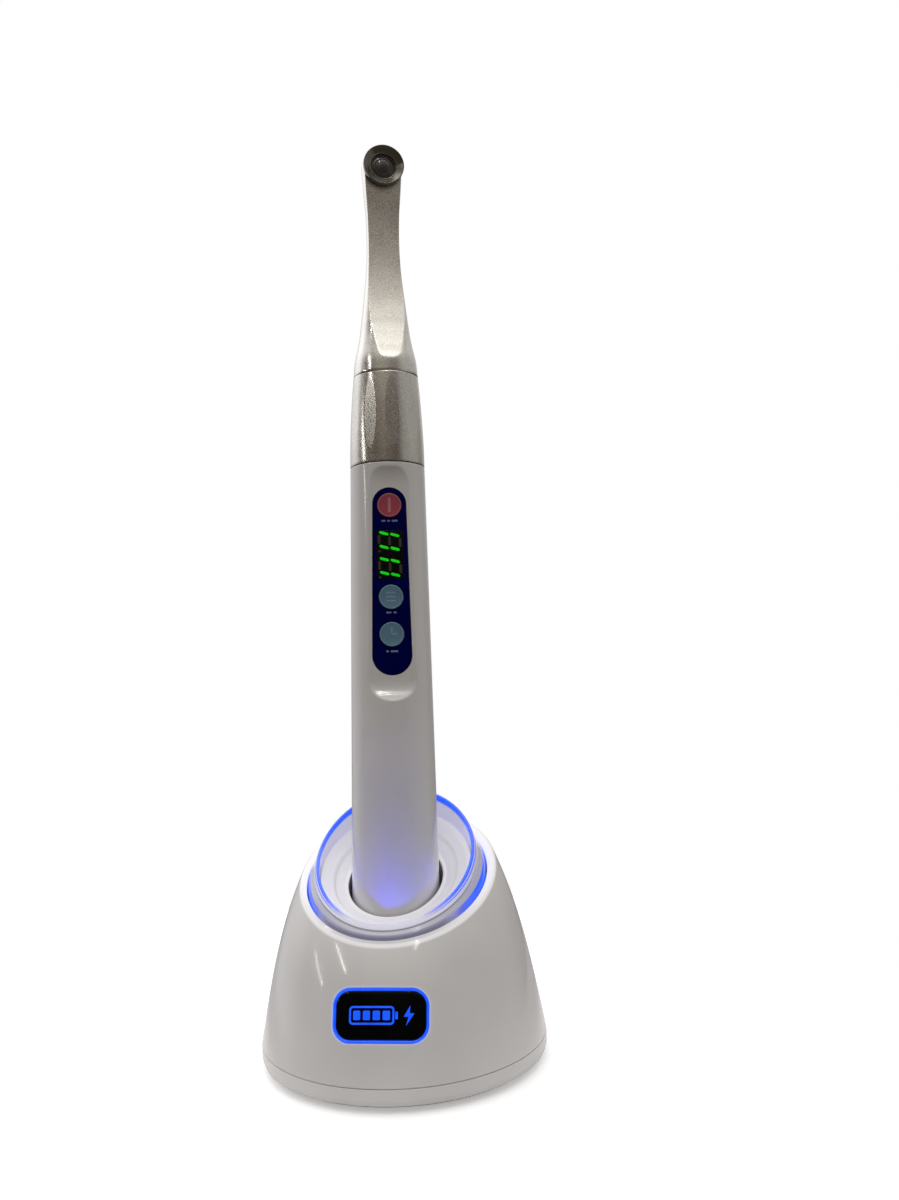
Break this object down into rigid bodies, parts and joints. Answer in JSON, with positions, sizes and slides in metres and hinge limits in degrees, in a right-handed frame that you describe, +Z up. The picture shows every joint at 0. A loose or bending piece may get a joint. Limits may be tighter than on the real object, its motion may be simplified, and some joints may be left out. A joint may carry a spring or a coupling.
{
  "type": "dental curing light",
  "caption": "Pen-shaped cordless dental curing light with a swivelling slim head, keypad and digit display, leaning in a domed charging base with a lit ring.",
  "frame": {"origin": "centre of the round resting face under the charging base", "axes": "+Z up, -Y is the front of the base with its window, +X to the right seen from the front"},
  "size_m": [0.084, 0.084, 0.2745],
  "materials": {
    "white_gloss": "glossy moulded white",
    "clear_acrylic": "clear polished light guide",
    "lit_blue": "lit blue light guide",
    "black_window": "polished black window",
    "navy_panel": "satin navy keypad film",
    "red_key": "satin red key",
    "blue_key": "satin grey blue key",
    "smoked_window": "smoked display window",
    "satin_silver": "fine satin blasted",
    "dark_steel": "turned and polished",
    "clear_lens": "clear polished",
    "plated_steel": "bright plated",
    "bronze": "machined",
    "gold": "gold plated",
    "copper": "bare copper",
    "rubber": "matte rubber",
    "black_plastic": "matte black",
    "circuit_board": "solder mask",
    "cell_wrap": "shrink sleeve",
    "emitter": "silicone dome"
  },
  "bodies": {
    "root": {"base_shell": "white_gloss", "base_plate": "white_gloss", "socket_cup": "white_gloss", "light_ring": "clear_acrylic", "window_light_frame": "lit_blue", "window_lens": "black_window", "window_led_board": "circuit_board", "ring_led_board": "circuit_board", "charging_board": "circuit_board", "ballast_plate": "plated_steel", "foot_pad": "rubber", "case_screw_1": "plated_steel", "case_screw_2": "plated_steel", "case_screw_3": "plated_steel", "case_screw_4": "plated_steel", "dc_jack_body": "black_plastic", "dc_jack_pin": "plated_steel", "contact_holder": "black_plastic"},
    "handpiece": {"body_shell": "white_gloss", "tail_cap": "white_gloss", "charge_pad_left": "gold", "charge_pad_right": "gold", "cell_contact": "plated_steel", "battery_cell": "cell_wrap", "cell_retainer": "black_plastic", "main_board": "circuit_board", "display_module": "black_plastic", "display_window": "smoked_window", "power_switch": "black_plastic", "mode_switch": "black_plastic", "time_switch": "black_plastic", "sounder": "black_plastic", "head_connector": "black_plastic", "control_panel": "navy_panel", "grip_sleeve": "satin_silver", "joint_collar": "black_plastic", "swivel_bush": "bronze", "head_seal": "rubber"},
    "head": {"head_housing": "satin_silver", "lens_bezel": "dark_steel", "head_lens": "clear_lens", "led_board": "copper", "led_emitter": "emitter", "head_spindle": "plated_steel", "retaining_ring": "plated_steel", "heat_rod": "copper"},
    "charging_pin_left": {"charging_pin_left": "gold"},
    "charging_pin_right": {"charging_pin_right": "gold"},
    "power_button": {"power_button": "red_key"},
    "mode_button": {"mode_button": "blue_key"},
    "time_button": {"time_button": "blue_key"}
  },
  "joints": [
    {"name": "handpiece_lift", "type": "slide", "parent": "root", "child": "handpiece", "axis": [0, 0.1557, 0.9878], "range_m": [0, 0.075]},
    {"name": "head_swivel", "type": "hinge", "parent": "handpiece", "child": "head", "pos_m": [0, 0.02108, 0.20181], "axis": [0, 0.1557, 0.9878], "continuous": true},
    {"name": "power_press", "type": "slide", "parent": "handpiece", "child": "power_button", "axis": [-0.2079, 0.9662, -0.1523], "range_m": [0, 0.00028], "stiffness_N_per_m": 400},
    {"name": "mode_press", "type": "slide", "parent": "handpiece", "child": "mode_button", "axis": [-0.2079, 0.9662, -0.1523], "range_m": [0, 0.00028], "stiffness_N_per_m": 400},
    {"name": "time_press", "type": "slide", "parent": "handpiece", "child": "time_button", "axis": [-0.2079, 0.9662, -0.1523], "range_m": [0, 0.00028], "stiffness_N_per_m": 400},
    {"name": "charging_pin_left_travel", "type": "slide", "parent": "root", "child": "charging_pin_left", "axis": [0, -0.1557, -0.9878], "range_m": [0, 0.0009], "stiffness_N_per_m": 120},
    {"name": "charging_pin_right_travel", "type": "slide", "parent": "root", "child": "charging_pin_right", "axis": [0, -0.1557, -0.9878], "range_m": [0, 0.0009], "stiffness_N_per_m": 120}
  ]
}
